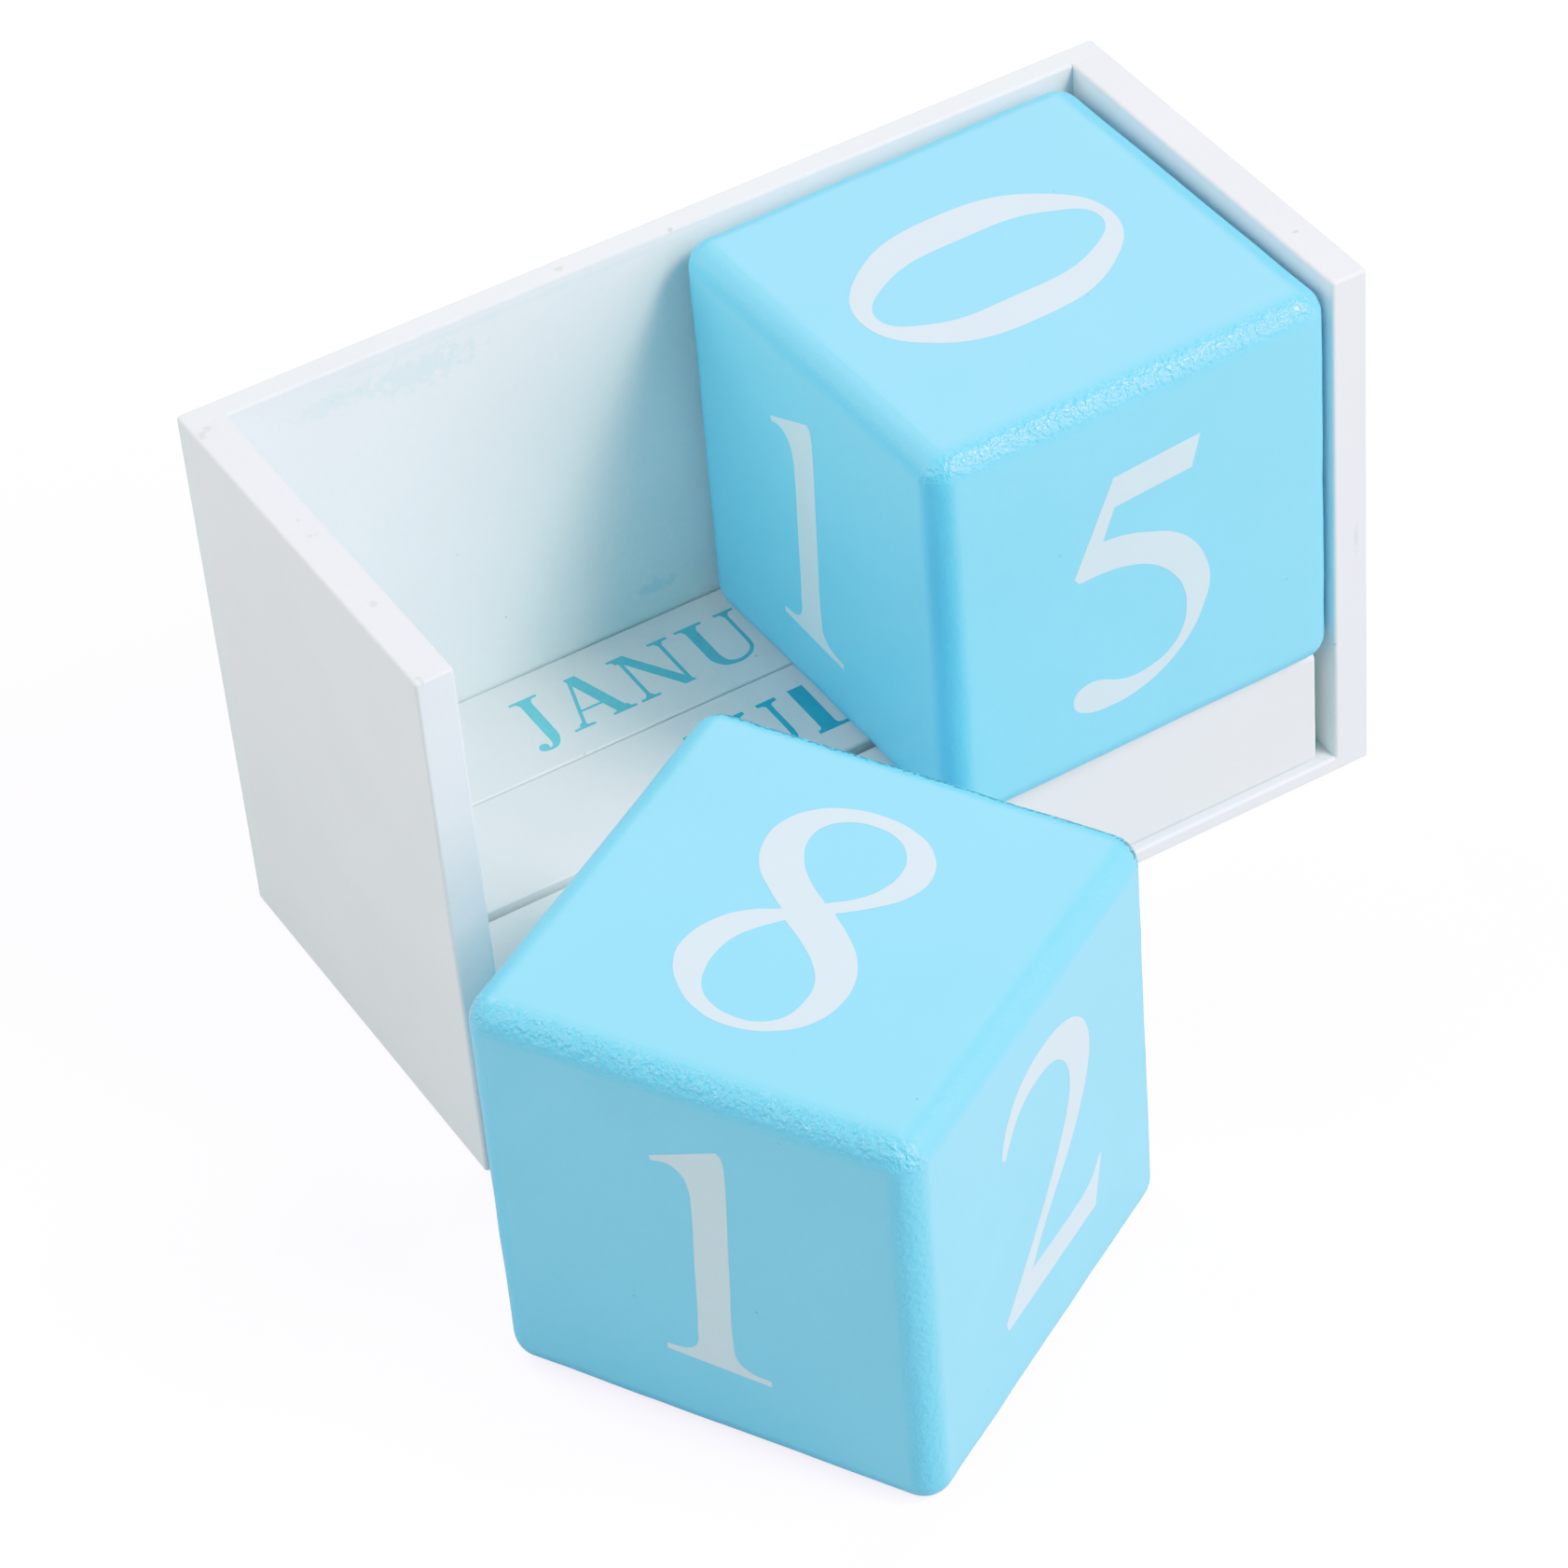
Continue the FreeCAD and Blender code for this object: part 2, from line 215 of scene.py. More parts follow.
def buildPaintFilm():
    # brushed-on paint: slow tone changes, fine grain, sparse dust under the film, orange peel
    tree, given, result = newGroup("paint film", {
        "Vector": ("Vector", (0, 0, 0)),
        "Paint": ("Color", (0.8, 0.8, 0.8, 1)),
        "Dust": ("Color", (0.3, 0.28, 0.25, 1)),
        "Mottle": ("Float", 0.03),
        "Dustiness": ("Float", 0.5),
        "Roughness": ("Float", 0.4),
        "Peel Size": ("Float", 0.8 * mm),
        "Peel Depth": ("Float", 0.004 * mm),
    }, {"Color": "Color", "Roughness": "Float", "Height": "Float"})
    vector = given["Vector"]
    slow = addRange(tree, addNoise(tree, vector, filmLook["mottleScale"], 3), 0.3, 0.7, -1, 0)
    fine = addRange(tree, addNoise(tree, vector, filmLook["grainScale"], 1), 0.25, 0.75, -0.5, 0.5)
    tone = addMath(tree, "MULTIPLY_ADD", slow, given["Mottle"], 1.0)
    fine = addMath(tree, "MULTIPLY", fine, given["Mottle"])
    tone = addMath(tree, "MULTIPLY_ADD", fine, filmLook["grainShare"], tone)
    toned = addNode(tree, "ShaderNodeVectorMath", {0: given["Paint"], "Scale": tone}, operation="SCALE")
    cells = addNode(tree, "ShaderNodeTexVoronoi",
                    {"Vector": vector, "Scale": filmLook["dustScale"], "Randomness": 1.0})
    speck = addRange(tree, cells.outputs["Distance"], filmLook["dustCore"], filmLook["dustRim"], 1, 0)
    luck = addNode(tree, "ShaderNodeSeparateColor", {"Color": cells.outputs["Color"]}).outputs["Red"]
    speck = addMath(tree, "MULTIPLY", speck, addMath(tree, "LESS_THAN", luck, given["Dustiness"]))
    speck = addMath(tree, "MULTIPLY", speck, filmLook["dustStrength"])
    tree.links.new(addBlend(tree, speck, toned.outputs[0], given["Dust"]), result.inputs["Color"])
    patchy = addNoise(tree, vector, filmLook["patchScale"], 2)
    patchy = addRange(tree, patchy, 0.2, 0.8, -filmLook["patchiness"], filmLook["patchiness"])
    tree.links.new(addMath(tree, "ADD", given["Roughness"], patchy), result.inputs["Roughness"])
    peel = addNoise(tree, vector, addMath(tree, "DIVIDE", 1.0, given["Peel Size"]), 1.5, 0.4)
    tree.links.new(addMath(tree, "MULTIPLY", peel, given["Peel Depth"]), result.inputs["Height"])
    return tree


def buildMark():
    # a smudge, dent or rub, and also the line of painted shade along the back panel's rim: a blurred spot
    # with broken edges
    tree, given, result = newGroup("mark", {
        "Vector": ("Vector", (0, 0, 0)),
        "Middle": ("Vector", (0, 0, 0)),
        "Reach": ("Vector", (1 * mm, 1 * mm, 1 * mm)),
        "Grain Size": ("Float", 1 * mm),
        "Break Up": ("Float", 1.0),
        "Strength": ("Float", 1.0),
    }, {"Mask": "Float"})
    offset = addNode(tree, "ShaderNodeVectorMath", {0: given["Vector"], 1: given["Middle"]},
                     operation="SUBTRACT").outputs[0]
    scaled = addNode(tree, "ShaderNodeVectorMath", {0: offset, 1: given["Reach"]},
                     operation="DIVIDE").outputs[0]
    length = addNode(tree, "ShaderNodeVectorMath", {0: scaled}, operation="LENGTH").outputs["Value"]
    grain = addNoise(tree, given["Vector"], addMath(tree, "DIVIDE", 1.0, given["Grain Size"]), 3, 0.6)
    broken = addMath(tree, "MULTIPLY_ADD", addMath(tree, "SUBTRACT", grain, 0.5), given["Break Up"], length)
    mask = addRange(tree, broken, markCore, 1.0, 1, 0)
    tree.links.new(addMath(tree, "MULTIPLY", mask, given["Strength"]), result.inputs["Mask"])
    return tree


def buildSandedEdge():
    # pebbled film over end grain, glossier than the faces, and small nicks where it is worn through
    tree, given, result = newGroup("sanded edge", {
        "Vector": ("Vector", (0, 0, 0)),
        "Pebbled": ("Float", 0.0),
        "Worn": ("Float", 0.0),
        "Pebble Size": ("Float", 0.8 * mm),
        "Pebble Depth": ("Float", 0.04 * mm),
        "Nick Size": ("Float", 0.5 * mm),
        "Nick Depth": ("Float", 0.1 * mm),
    }, {"Nick": "Float", "Height": "Float"})
    vector = given["Vector"]
    pebbles = addNoise(tree, vector, addMath(tree, "DIVIDE", 1.0, given["Pebble Size"]), 2, 0.55)
    pebbles = addMath(tree, "MULTIPLY", addRange(tree, pebbles, 0.3, 0.7), given["Pebbled"])
    grain = addNoise(tree, vector, addMath(tree, "DIVIDE", 1.0, given["Nick Size"]), 2, 0.5)
    limit = addMath(tree, "MULTIPLY_ADD", given["Worn"], -edgeLook["nickDrop"], edgeLook["nickLimit"])
    nick = addRange(tree, addMath(tree, "SUBTRACT", grain, limit), 0.0, edgeLook["nickBlur"])
    tree.links.new(nick, result.inputs["Nick"])
    raised = addMath(tree, "MULTIPLY", pebbles, given["Pebble Depth"])
    dented = addMath(tree, "MULTIPLY", nick, given["Nick Depth"])
    tree.links.new(addMath(tree, "SUBTRACT", raised, dented), result.inputs["Height"])
    return tree


paintFilm = buildPaintFilm()
markGroup = buildMark()
sandedEdge = buildSandedEdge()


def makePaint(name, finish, marks=()):
    # one painted finish; marks are (middle mm, reach mm, colour, grain mm, break up, strength)
    material = bpy.data.materials.new(name)
    material.use_nodes = True
    tree = material.node_tree
    shader = tree.nodes["Principled BSDF"]
    vector = tree.nodes.new("ShaderNodeTexCoord").outputs["Object"]
    film = addNode(tree, "ShaderNodeGroup", {
        "Vector": vector, "Paint": (*finish["colour"], 1), "Dust": (*finish["dust"], 1),
        "Mottle": finish["mottle"], "Dustiness": finish["dustiness"], "Roughness": finish["roughness"],
        "Peel Size": finish["peelSize"], "Peel Depth": finish["peelDepth"],
    }, node_tree=paintFilm)
    colour, height = film.outputs["Color"], film.outputs["Height"]
    for middle, reach, tint, grain, breakUp, strength in marks:
        spot = addNode(tree, "ShaderNodeGroup", {
            "Vector": vector, "Middle": [value * mm for value in middle],
            "Reach": [value * mm for value in reach], "Grain Size": grain * mm,
            "Break Up": breakUp, "Strength": strength,
        }, node_tree=markGroup)
        colour = addBlend(tree, spot.outputs["Mask"], colour, (*tint, 1))
    roughness = film.outputs["Roughness"]
    if "pebbleDepth" in finish:
        # the cubes' own attributes tell where they are rounded, pebbled and worn
        weights = {key: addNode(tree, "ShaderNodeAttribute", attribute_name=key).outputs["Fac"]
                   for key in ("rounding", "pebbled", "worn")}
        edges = addNode(tree, "ShaderNodeGroup", {
            "Vector": vector, "Pebbled": weights["pebbled"], "Worn": weights["worn"],
            "Pebble Size": finish["pebbleSize"], "Pebble Depth": finish["pebbleDepth"],
            "Nick Size": finish["nickSize"], "Nick Depth": finish["nickDepth"],
        }, node_tree=sandedEdge)
        height = addMath(tree, "ADD", height, edges.outputs["Height"])
        roughness = addMath(tree, "MULTIPLY_ADD", weights["rounding"], finish["edgeDull"], roughness)
        roughness = addMath(tree, "MULTIPLY_ADD", weights["pebbled"], -finish["pebbleGloss"], roughness)
        # painted shade: the roundings are blended toward a darker, more saturated blue that stands in for
        # their darker look
        thin = addMath(tree, "MULTIPLY", weights["rounding"], finish["edgeShadeShare"])
        colour = addBlend(tree, thin, colour, (*finish["edgeShadeColour"], 1))
        nick = addMath(tree, "MULTIPLY", edges.outputs["Nick"], finish["nickStrength"])
        colour = addBlend(tree, nick, colour, (*finish["nickColour"], 1))
    tree.links.new(colour, shader.inputs["Base Color"])
    tree.links.new(roughness, shader.inputs["Roughness"])
    bump = addNode(tree, "ShaderNodeBump", {"Height": height, "Strength": 1.0, "Distance": 1.0})
    tree.links.new(bump.outputs["Normal"], shader.inputs["Normal"])
    shader.inputs["IOR"].default_value = finish["ior"]
    return material


# tray: the four CAD panels keep their shape and get a white paint each; marks lie in the tray's frame
whitePaint = {
    "colour": (0.720, 0.829, 0.840),
    "dust": (0.34, 0.33, 0.33),
    "mottle": 0.035,
    "dustiness": 0.05,
    "roughness": 0.42,
    "peelSize": 0.9 * mm,
    "peelDepth": 0.006 * mm,
    "ior": 1.46,
}
# painted bounce light: the back panel's white is tinted teal-green to stand in for light thrown onto it by
# the blue cubes
backPaintWithCubeBounce = {**whitePaint, "colour": (0.712, 0.858, 0.842)}
dingGrey, rubBlue = (0.30, 0.31, 0.32), (0.30, 0.66, 0.72)
# the second colour on the next line is painted shade, for a dark line drawn along the back panel's inner top
# edge
fleckBrown, paintedRimShade = (0.45, 0.34, 0.18), (0.42, 0.58, 0.60)
panelMarks = {
    "left_side": [
        ((-55.9, 21.5, 68), (0.55, 0.7, 0.5), dingGrey, 0.35, 2.6, 0.38),
        ((-55.0, 22.2, 68), (0.6, 0.5, 0.5), dingGrey, 0.35, 2.6, 0.38),
        ((-54.2, 3.4, 68), (0.3, 0.4, 0.4), dingGrey, 0.5, 1.2, 0.25),
        ((-54.4, 0.4, 68), (0.35, 0.45, 0.4), dingGrey, 0.5, 1.2, 0.32),
        ((-53.8, 0.2, 68), (0.25, 0.35, 0.4), dingGrey, 0.5, 1.2, 0.2),
        ((-54.2, -12.8, 68), (0.6, 0.6, 0.5), dingGrey, 0.5, 0.9, 0.36),
        ((-55.9, -25.6, 67.6), (0.5, 0.8, 0.6), dingGrey, 0.5, 1.4, 0.6),
    ],
    "back_panel": [
        ((-11.8, 24.4, 68), (0.7, 0.5, 0.5), fleckBrown, 0.4, 1.8, 0.42),
        ((1.2, 23.35, 68), (0.45, 0.3, 0.5), dingGrey, 0.35, 1.8, 0.75),
        # painted shade: a dark line along the back panel's inner top edge
        ((-5.0, 23.2, 67.9), (48, 0.22, 0.35), paintedRimShade, 2.2, 1.6, 0.35),
        ((-30.0, 23.15, 63.6), (7.5, 0.8, 2.4), rubBlue, 1.1, 3.4, 0.25),
        ((-40.5, 23.15, 64.0), (5.0, 0.8, 1.4), rubBlue, 1.0, 3.4, 0.22),
        ((-5.6, 23.15, 21.9), (3.6, 0.8, 1.0), rubBlue, 1.2, 2.6, 0.3),
        ((-20.0, 23.15, 66.6), (30, 0.8, 0.5), rubBlue, 2.5, 1.2, 0.12),
    ],
    "right_side": [
        ((54.4, -16.4, 68), (0.5, 0.3, 0.4), dingGrey, 0.5, 1.2, 0.55),
        ((55.1, -26.15, 32.6), (0.35, 0.5, 2.2), dingGrey, 0.6, 1.8, 0.3),
    ],
    "base_panel": [],
}
bradPaint = {**whitePaint, "colour": (0.70, 0.69, 0.66), "mottle": 0.12, "roughness": 0.5}


def paintNode(node, material):
    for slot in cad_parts[node].material_slots:
        slot.material = material


for node, marks in panelMarks.items():
    # the back panel gets the white that is tinted with painted bounce light from the blue cubes
    finish = backPaintWithCubeBounce if node == "back_panel" else whitePaint
    paintNode(node, makePaint(node + " white paint", finish, marks))
painted = makePaint("brad heads painted over", bradPaint)
paintNode("base_brads", painted)
paintNode("back_brads", painted)
print("tray painted")


# date cubes: hand-rounded blocks with numerals printed on all six faces; sanding gives (pebbled, worn)
# for the edges; spread is how far, in degrees, the pebbles reach from the middle of a top edge; the top
# and upright edges that differ are named by their direction in the cube's own frame
cubeBlock = {
    "side": 49.94 * mm,          # the printed numerals make up the rest
    "edge": 3.2 * mm,            # rounding of every edge
    "onset": 0.35,               # share of the rounding over which the sanding sets in
    "wornTurns": (18, 28, 52, 65),  # degrees from the top over which wear comes and goes
    "roundingSteps": 12,
    "stripSteps": 72,
    "rim": 0.4 * mm,             # flat border that keeps the faces' shading flat
    "waver": 0.08 * mm,          # slow unevenness of the sanded edges, to either side
    "waverSize": 7 * mm,
    "ripple": 0.015 * mm,
    "rippleSize": 2.2 * mm,
}
bluePaint = {
    "colour": (0.143, 0.600, 0.908),
    "dust": (0.06, 0.22, 0.30),
    "mottle": 0.03,
    "dustiness": 0.035,
    "roughness": 0.30,
    "peelSize": 0.7 * mm,
    "peelDepth": 0.004 * mm,
    "ior": 1.46,
    "pebbleSize": 0.68 * mm,
    "pebbleDepth": 0.14 * mm,
    "pebbleGloss": 0.36,
    "nickSize": 0.5 * mm,
    "nickDepth": 0.05 * mm,
    "edgeDull": 0.20,
    # painted shade on the roundings: how far they are blended toward the darker blue below, and that blue
    "edgeShadeShare": 0.8,
    "edgeShadeColour": (0.098, 0.532, 0.875),
    "nickColour": (0.03, 0.14, 0.17),
    "nickStrength": 0.9,
}
numeralPaint = {
    "colour": (0.488, 0.733, 0.820),
    "dust": (0.26, 0.25, 0.27),
    "mottle": 0.03,
    "dustiness": 0.03,
    "roughness": 0.32,
    "peelSize": 0.7 * mm,
    "peelDepth": 0.004 * mm,
    "ior": 1.46,
}
# middles in mm; a numeral's two numbers shift it across and up its face, in mm
dateCubes = {
    "date_cube_tray": {
        "body": "cube_in_tray", "middle": (26.36, -2.49, 42.70), "turn": 0.9,
        "seed": 3.1,
        "sanding": {"spread": 36, "elsewhere": (0.15, 0.0), "top edges": {(0, -1): (0.85, 0.0)},
                    "upright edges": {}},
        "numerals": {"top": ("0", 0.15, -0.2), "left": ("1", -3.05, -1.4), "front": ("5", -0.25, 0.05),
                     "right": ("2", 0, 0), "back": ("3", 0, 0), "bottom": ("4", 0, 0)},
    },
    "date_cube_table": {
        "body": "cube_on_table", "middle": (-33.80, -59.44, 25.0), "turn": 30.1,
        "seed": 11.7,
        "sanding": {"spread": 46, "elsewhere": (0.2, 0.0),
                    "top edges": {(-1, 0): (1.25, 0.3), (1, 0): (0.75, 1.0)},
                    "upright edges": {(-1, -1): (0.36, 0.0)}},
        "numerals": {"top": ("8", 0.15, -0.3), "left": ("1", 0, -0.15), "front": ("2", 0, 0),
                     "right": ("6", 0, 0), "back": ("7", 0, 0), "bottom": ("0", 0, 0)},
    },
}
# outward direction and reading-up direction of each face
cubeFaces = {
    "top": ((0, 0, 1), (1, 0, 0)), "bottom": ((0, 0, -1), (1, 0, 0)),
    "left": ((-1, 0, 0), (0, 0, 1)), "right": ((1, 0, 0), (0, 0, 1)),
    "front": ((0, -1, 0), (0, 0, 1)), "back": ((0, 1, 0), (0, 0, 1)),
}
# numeral outlines in mm from the middle of a face; c marks a corner, | starts a counter
numeralShapes = {
    "0": "9.9,-1.4 6.8,9.9 -.9,14.9 -8.4,10.2 -11.5,-1 -8.3,-12.2 -.7,-16.9 6.9,-12.6 | 5.2,-2 3.4,9.6 "
         "-1.2,13.5 -5.1,9.2 -6.5,.2 -4.6,-11.4 .1,-15.2 3.9,-11.4",
    "1": "3.3,17c -4.35,13.5c -4.2,12.95c -2.25,13.2 -.9,12.3 -.25,10.5 -.15,8 -.5,0 -.95,-9.5 "
         "-1.25,-11.75 -2.25,-12.75 -4.75,-13.15c -4.8,-13.85c 7,-14.2c 7.05,-13.5c 4.5,-13.1 3.3,-12 "
         "3.05,-10 3.4,0 3.85,16.4",
    "2": "-8.15,9.5c -7.5,8.85c -6.25,10.6 -4.75,12.15 -2.5,13.25 .25,13.55 2.75,13.1 4.75,11.7 "
         "5.9,9.75 6.2,7.5 5.6,4.75 3.75,1.5 .75,-2.5 -3,-6.6 -9.2,-12.6c -8.9,-13.8c 10.35,-13.9c "
         "12.1,-7.75c 11.4,-8 10,-9.4 8.25,-10.1 5.5,-10.3 -3.4,-10.15c -1.5,-7.75 2,-4.25 5,-1.5 "
         "8,2.25 10,6 10.6,9 10.15,11.75 8.5,14.25 6,15.85 3.5,16.55 .75,16.7 -2,16.3 -4.5,15.2 "
         "-6.5,13.35 -7.75,11.15",
    "3": "-7.9,10.4c -7.1,9.9c -5.2,12.4 -2.6,13.9 0,14.2 2.8,13.4 4.6,11.3 4.9,8.8 4,6 1.6,3.6 "
         "-2.6,1.9c -2.4,.9c .8,.9 3.4,.2 5.6,-2 6.3,-5.4 5.9,-9.2 4,-12.4 1,-14 -2,-14 -4.6,-12.9 "
         "-7,-12.1 -8.6,-12.9 -8.9,-14.6 -7.6,-15.9 -4.4,-16.5 -.6,-16.2 3.2,-15 6.8,-12.2 9,-8.2 "
         "9.3,-4 8.2,-.6 6.2,1.7 3.6,3c 6.2,5 7.9,7.6 8.3,10.4 7.3,13.2 4.9,15.5 1.6,16.6 -1.8,16.2 "
         "-4.8,14.4 -6.8,12.2",
    "4": "3.6,16.6c -10.4,-6.2c -10.4,-8.4c 1.8,-8.4c 1.8,-15.6c 5.6,-15.6c 5.6,-8.4c 10.2,-8.4c "
         "10.2,-5.6c 5.6,-5.6c 5.6,16.6c | 1.8,10.4c 1.8,-5.6c -7.8,-5.6c",
    "5": "8.1,14.6c -2.9,13.85c -8.2,2.75c -7.65,1.95c -5,1.95 -1.5,1.4 2,-.25 4.5,-3 5.6,-5.6 "
         "5.75,-7.75 5.25,-10.25 3.5,-12.6 1,-13.7 -1.5,-13.95 -3.5,-13.4 -5.25,-12.5 -7.25,-12.25 "
         "-8.75,-13.1 -8.9,-14.75 -7.75,-15.9 -4,-16.6 -1,-16.25 2.5,-14.85 6,-11.9 8,-8.5 8.85,-5.25 "
         "8.4,-2.5 7,.5 4.5,3 1.5,4.5 -1.5,5.6 -4.5,6.1c -2.9,10c 6.9,10.65c",
    "6": "7.8,16.5c 3.4,15.6 -1.6,12.8 -5.8,8.4 -8.6,2.8 -9.3,-3.4 -8.2,-9.4 -5.2,-13.8 -.4,-16.1 "
         "4.4,-15.2 8,-11.8 9.4,-6.6 8.6,-1.4 5.8,2.4 1.8,3.8 -1.8,3 -4.8,.4c -3.9,5 -1.8,9.2 2,12.8 "
         "7.6,15.6c | .4,1.6 3,.4 4.9,-3 5.4,-7.2 4.6,-11.4 2.4,-14 -.8,-14.2 -3.6,-11.6 -5,-7.4 "
         "-4.9,-3.2 -2.8,.2",
    "7": "-9.2,9.2c -8.2,9.2c -6.9,11.4 -4.4,12.4 5.6,12.4c -2.6,-15.8c 1.4,-15.8c 9.2,14c 9.2,15.9c "
         "-7.8,15.9c",
    "8": "0,16.4 3.75,15.75 7,13.75 8.6,10.25 7.75,7 5.5,4.5 2.25,2c 5,-.25 7.3,-2.75 8.65,-5.75 "
         "8.85,-8.5 7.9,-11.75 5.2,-14.5 .25,-15.95 -3.5,-15.25 -6.75,-13.1 -9,-10 -9.4,-7.25 -7.75,-3 "
         "-5.5,-.9 -2.75,.5c -5.25,2.5 -7.75,5 -9.1,8.5 -8.75,11.75 -6.5,14.6 -3.5,16 | 0,14.75 3,14 "
         "4.9,12.1 5.5,10 5,7.25 3.5,5 .75,2.9c -2.25,5.25 -4.25,7.75 -5.15,10.5 -4.6,12.75 "
         "-2.75,14.25 | -1.75,-.75c 1.4,-3 3.8,-5.25 5.2,-7.5 5.45,-10 4.7,-12.75 2.8,-14.25 "
         ".25,-14.65 -2.5,-14 -4.5,-12.4 -5.5,-10 -5.65,-7.25 -5,-4.75 -3.75,-2.9",
}
printFilm = {"proud": 0.03 * mm, "sunk": 0.05 * mm, "smoothness": 10, "weld": 0.002 * mm}


def finishPiece(bm, name, material, body, smooth=True):
    mesh = bpy.data.meshes.new(name)
    bm.to_mesh(mesh)
    bm.free()
    mesh.materials.append(material)
    for polygon in mesh.polygons:
        polygon.use_smooth = smooth
    piece = bpy.data.objects.new(name, mesh)
    scene.collection.objects.link(piece)
    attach(piece, body)
    return piece


def facing(outward, up):
    # turns a drawing in the XY plane to a face with that outward and reading-up direction
    outward, up = Vector(outward), Vector(up)
    return Matrix((up.cross(outward), up, outward)).transposed().to_4x4()


def ramp(value, start, end):
    # 0 up to the start, 1 from the end on
    return min(max((value - start) / (end - start), 0), 1)


def shapeCube(size, sanding, seed):
    bm = bmesh.new()
    bmesh.ops.create_cube(bm, size=size["side"])
    bmesh.ops.bevel(bm, geom=bm.edges[:], offset=size["edge"], offset_type="OFFSET", affect="EDGES",
                    segments=size["roundingSteps"], profile=0.5, material=-1)
    longest = size["side"] - 2 * size["edge"]
    # the strips along the edges are cut finely, and each flat face is closed again over a narrow rim
    flats = [face for face in bm.faces if face.calc_area() > longest * longest / 2]
    bmesh.ops.delete(bm, geom=flats, context="FACES_ONLY")
    lines = [edge for edge in bm.edges if edge.calc_length() > longest * 0.9]
    bmesh.ops.subdivide_edges(bm, edges=lines, cuts=size["stripSteps"] - 1, use_grid_fill=True)
    filled = bmesh.ops.holes_fill(bm, edges=[edge for edge in bm.edges if edge.is_boundary], sides=0)["faces"]
    bmesh.ops.inset_individual(bm, faces=filled, thickness=size["rim"], use_even_offset=True)
    bmesh.ops.poke(bm, faces=filled)
    bmesh.ops.recalc_face_normals(bm, faces=bm.faces[:])
    bm.normal_update()
    layers = {key: bm.verts.layers.float.new(key) for key in ("rounding", "pebbled", "worn")}
    flat = size["side"] / 2 - size["edge"]
    shift = Vector((seed, seed * 1.7, -seed))
    startTurn, fullTurn, easeTurn, endTurn = size["wornTurns"]
    for vert in bm.verts:
        # the middle one of the three distances says how far round an edge the place lies
        reach = sorted(abs(value) for value in vert.co)[1] - flat
        share = ramp(reach, 0, size["onset"] * size["edge"])
        if share == 0:
            continue
        pebbled, worn = sanding["elsewhere"]
        for (sideways, forward), edge in sanding["upright edges"].items():
            if min(vert.co.x * sideways, vert.co.y * forward) > flat and abs(vert.co.z) < flat:
                pebbled, worn = edge
        for (sideways, forward), edge in sanding["top edges"].items():
            out = vert.co.x * sideways + vert.co.y * forward - flat
            if out > 0 and vert.co.z > flat:
                turn = math.degrees(math.atan2(out, vert.co.z - flat))
                pebbled = edge[0] * max(1 - ((turn - 45) / sanding["spread"]) ** 2, 0)
                worn = edge[1] * ramp(turn, startTurn, fullTurn) * ramp(turn, endTurn, easeTurn)
        vert[layers["rounding"]] = share
        vert[layers["pebbled"]] = pebbled * share
        vert[layers["worn"]] = worn * share
        waver = noise.noise(vert.co / size["waverSize"] + shift)
        ripple = noise.noise(vert.co / size["rippleSize"] - shift)
        vert.co += vert.normal * (size["waver"] * waver + size["ripple"] * ripple) * share
    return bm


def drawOutline(text):
    # thin flat mesh, drawn as Bezier loops and standing on the XY plane
    curve = bpy.data.curves.new("outline", "CURVE")
    curve.dimensions, curve.fill_mode = "2D", "BOTH"
    curve.resolution_u = printFilm["smoothness"]
    curve.extrude = (printFilm["proud"] + printFilm["sunk"]) / 2
    for loop in text.split("|"):
        points = loop.split()
        spline = curve.splines.new("BEZIER")
        spline.bezier_points.add(len(points) - 1)
        spline.use_cyclic_u = True
        for point, word in zip(spline.bezier_points, points):
            across, up = (float(part) * mm for part in word.rstrip("c").split(","))
            point.co = (across, up, 0)
            kind = "VECTOR" if word.endswith("c") else "AUTO"
            point.handle_left_type = point.handle_right_type = kind
    holder = bpy.data.objects.new("outline", curve)
    scene.collection.objects.link(holder)
    graph = bpy.context.evaluated_depsgraph_get()
    mesh = bpy.data.meshes.new_from_object(holder.evaluated_get(graph))
    mesh.transform(Matrix.Translation((0, 0, (printFilm["proud"] - printFilm["sunk"]) / 2)))
    bpy.data.objects.remove(holder)
    bpy.data.curves.remove(curve)
    return mesh


def closeSheet(bm):
    bmesh.ops.remove_doubles(bm, verts=bm.verts[:], dist=printFilm["weld"])
    bmesh.ops.recalc_face_normals(bm, faces=bm.faces[:])


bluePainted = makePaint("sky blue paint", bluePaint)
numeralPainted = makePaint("numeral print", numeralPaint)
for name, cube in dateCubes.items():
    place = (Matrix.Translation(Vector(cube["middle"]) * mm)
             @ Matrix.Rotation(math.radians(cube["turn"]), 4, "Z"))
    bm = shapeCube(cubeBlock, cube["sanding"], cube["seed"])
    bm.transform(place)
    block = finishPiece(bm, name + "_painted", bluePainted, cube["body"])
    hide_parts(name)
    bm = bmesh.new()
    for side, (numeral, across, up) in cube["numerals"].items():
        mesh = drawOutline(numeralShapes[numeral])
        lift = Matrix.Translation((across * mm, up * mm, cubeBlock["side"] / 2))
        mesh.transform(place @ facing(*cubeFaces[side]) @ lift)
        bm.from_mesh(mesh)
        bpy.data.meshes.remove(mesh)
    closeSheet(bm)
    finishPiece(bm, name + "_numerals", numeralPainted, cube["body"], smooth=False)
print("date cubes made")


# month bars: CAD bars with month names lettered on their four long faces
barPaint = {**whitePaint, "colour": (0.685, 0.792, 0.794), "peelDepth": 0.004 * mm}
monthInk = {
    "colour": (0.118, 0.535, 0.63),
    "dust": (0.5, 0.6, 0.62),
    "mottle": 0.12,
    "dustiness": 0.1,
    "roughness": 0.45,
    "peelSize": 0.7 * mm,
    "peelDepth": 0.004 * mm,
    "ior": 1.46,
}
boldInk = {**monthInk, "colour": (0.034, 0.455, 0.62)}
# all but the height in units of the height
lettering = {"height": 8.2 * mm, "spacing": 0.045, "arcSteps": 14, "bracket": 0.12, "weld": 1e-4}
